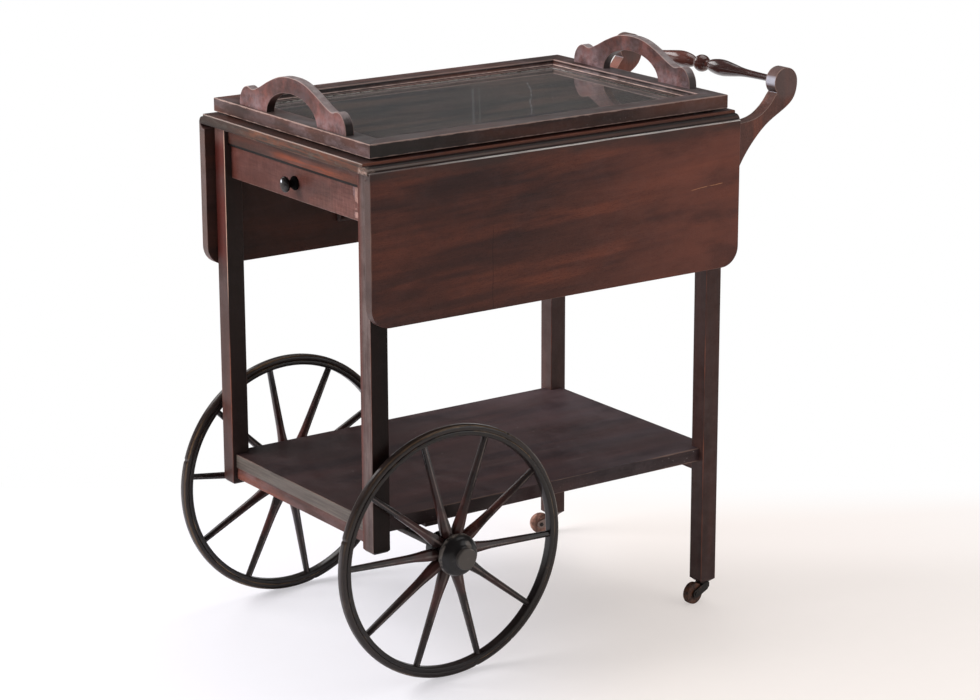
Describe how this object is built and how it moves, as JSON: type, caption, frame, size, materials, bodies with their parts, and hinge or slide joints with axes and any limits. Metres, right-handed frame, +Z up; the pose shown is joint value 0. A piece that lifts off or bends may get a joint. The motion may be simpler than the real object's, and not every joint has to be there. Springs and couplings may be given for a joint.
{
  "type": "tea cart",
  "caption": "Wooden tea cart with hinged drop leaves, a drawer, a lower shelf, a lift-off glazed tray, spoked wheels, swivel casters and a turned push bar.",
  "frame": {"origin": "on the floor, at the middle of the overall length and width", "axes": "+Z up; -X towards the drawer and the large wheels, +X towards the push bar; +Y towards the right-hand leaf"},
  "size_m": [0.7883, 0.5, 0.8006],
  "materials": {
    "frame_wood": "satin",
    "shelf_wood": "satin",
    "tray_wood": "satin",
    "drawer_inner_wood": "matte",
    "turned_wood": "gloss",
    "wheel_wood": "satin",
    "knob_wood": "gloss",
    "caster_wood": "satin",
    "veneer": "satin",
    "tyre_rubber": "matte",
    "iron": "matte",
    "steel": "satin",
    "glass": "gloss",
    "felt": "matte"
  },
  "bodies": {
    "cart": {"leg_front_left": "frame_wood", "leg_front_right": "frame_wood", "leg_rear_left": "frame_wood", "leg_rear_right": "frame_wood", "table_top": "frame_wood", "hinge_plates": "steel", "hinge_pins": "steel", "prop_ears": "iron", "side_rail_left": "frame_wood", "side_rail_right": "frame_wood", "end_rail": "frame_wood", "drawer_rail": "frame_wood", "drawer_runners": "drawer_inner_wood", "shelf_board": "shelf_wood", "shelf_rail_rear": "frame_wood", "shelf_rail_front": "frame_wood", "axle_crosspiece": "frame_wood", "axle_brackets": "frame_wood", "axle_bar": "iron", "axle_nuts": "iron", "caster_sockets": "iron", "push_arm_left": "frame_wood", "push_arm_right": "frame_wood", "push_bar": "turned_wood"},
    "leaf_left": {"leaf_left": "frame_wood", "hinge_flaps_left": "steel"},
    "leaf_right": {"leaf_right": "frame_wood", "hinge_flaps_right": "steel"},
    "prop_left": {"leaf_prop_left": "iron"},
    "prop_right": {"leaf_prop_right": "iron"},
    "drawer": {"drawer_front": "frame_wood", "drawer_side_left": "drawer_inner_wood", "drawer_side_right": "drawer_inner_wood", "drawer_back": "drawer_inner_wood", "drawer_bottom": "drawer_inner_wood", "drawer_knob": "knob_wood"},
    "tray": {"tray_frame_sides": "tray_wood", "tray_frame_ends": "tray_wood", "tray_glass": "glass", "tray_panel": "veneer", "tray_feet": "felt", "tray_grip_front": "tray_wood", "tray_grip_rear": "tray_wood"},
    "wheel_left": {"wheel_tyre_left": "tyre_rubber", "wheel_felloe_left": "wheel_wood", "wheel_spokes_left": "wheel_wood", "wheel_hub_left": "wheel_wood", "wheel_hub_cap_left": "wheel_wood"},
    "caster_fork_left": {"caster_fork_left": "iron", "caster_pin_left": "iron"},
    "caster_wheel_left": {"caster_wheel_left": "caster_wood"},
    "wheel_right": {"wheel_tyre_right": "tyre_rubber", "wheel_felloe_right": "wheel_wood", "wheel_spokes_right": "wheel_wood", "wheel_hub_right": "wheel_wood", "wheel_hub_cap_right": "wheel_wood"},
    "caster_fork_right": {"caster_fork_right": "iron", "caster_pin_right": "iron"},
    "caster_wheel_right": {"caster_wheel_right": "caster_wood"}
  },
  "joints": [
    {"name": "leaf_hinge_left", "type": "hinge", "parent": "cart", "child": "leaf_left", "pos_m": [-0.03865, -0.2063, 0.71], "axis": [-1, 0, 0], "range_deg": [0, 90]},
    {"name": "prop_swing_left", "type": "hinge", "parent": "cart", "child": "prop_left", "pos_m": [-0.03865, -0.199, 0.65], "axis": [-1, 0, 0], "range_deg": [0, 120]},
    {"name": "leaf_hinge_right", "type": "hinge", "parent": "cart", "child": "leaf_right", "pos_m": [-0.03865, 0.2063, 0.71], "axis": [1, 0, 0], "range_deg": [0, 90]},
    {"name": "prop_swing_right", "type": "hinge", "parent": "cart", "child": "prop_right", "pos_m": [-0.03865, 0.199, 0.65], "axis": [1, 0, 0], "range_deg": [0, 120]},
    {"name": "drawer_slide", "type": "slide", "parent": "cart", "child": "drawer", "axis": [-1, 0, 0], "range_m": [0, 0.3]},
    {"name": "tray_lift", "type": "slide", "parent": "cart", "child": "tray", "axis": [0, 0, 1], "range_m": [0, 0.15]},
    {"name": "wheel_spin_left", "type": "hinge", "parent": "cart", "child": "wheel_left", "pos_m": [-0.21715, -0.21, 0.177], "axis": [0, 1, 0], "continuous": true},
    {"name": "caster_swivel_left", "type": "hinge", "parent": "cart", "child": "caster_fork_left", "pos_m": [0.241, -0.18365, 0.0298], "axis": [0, 0, 1], "continuous": true},
    {"name": "caster_spin_left", "type": "hinge", "parent": "caster_fork_left", "child": "caster_wheel_left", "pos_m": [0.22139, -0.18641, 0.0158], "axis": [-0.1392, 0.9903, 0], "continuous": true},
    {"name": "wheel_spin_right", "type": "hinge", "parent": "cart", "child": "wheel_right", "pos_m": [-0.21715, 0.21, 0.177], "axis": [0, 1, 0], "continuous": true},
    {"name": "caster_swivel_right", "type": "hinge", "parent": "cart", "child": "caster_fork_right", "pos_m": [0.241, 0.18365, 0.0298], "axis": [0, 0, 1], "continuous": true},
    {"name": "caster_spin_right", "type": "hinge", "parent": "caster_fork_right", "child": "caster_wheel_right", "pos_m": [0.22251, 0.19075, 0.0158], "axis": [0.3584, 0.9336, 0], "continuous": true}
  ],
  "couplings": [
    {"joint": "prop_swing_left", "follows": "leaf_hinge_left", "ratio": 1.3333},
    {"joint": "prop_swing_right", "follows": "leaf_hinge_right", "ratio": 1.3333}
  ]
}
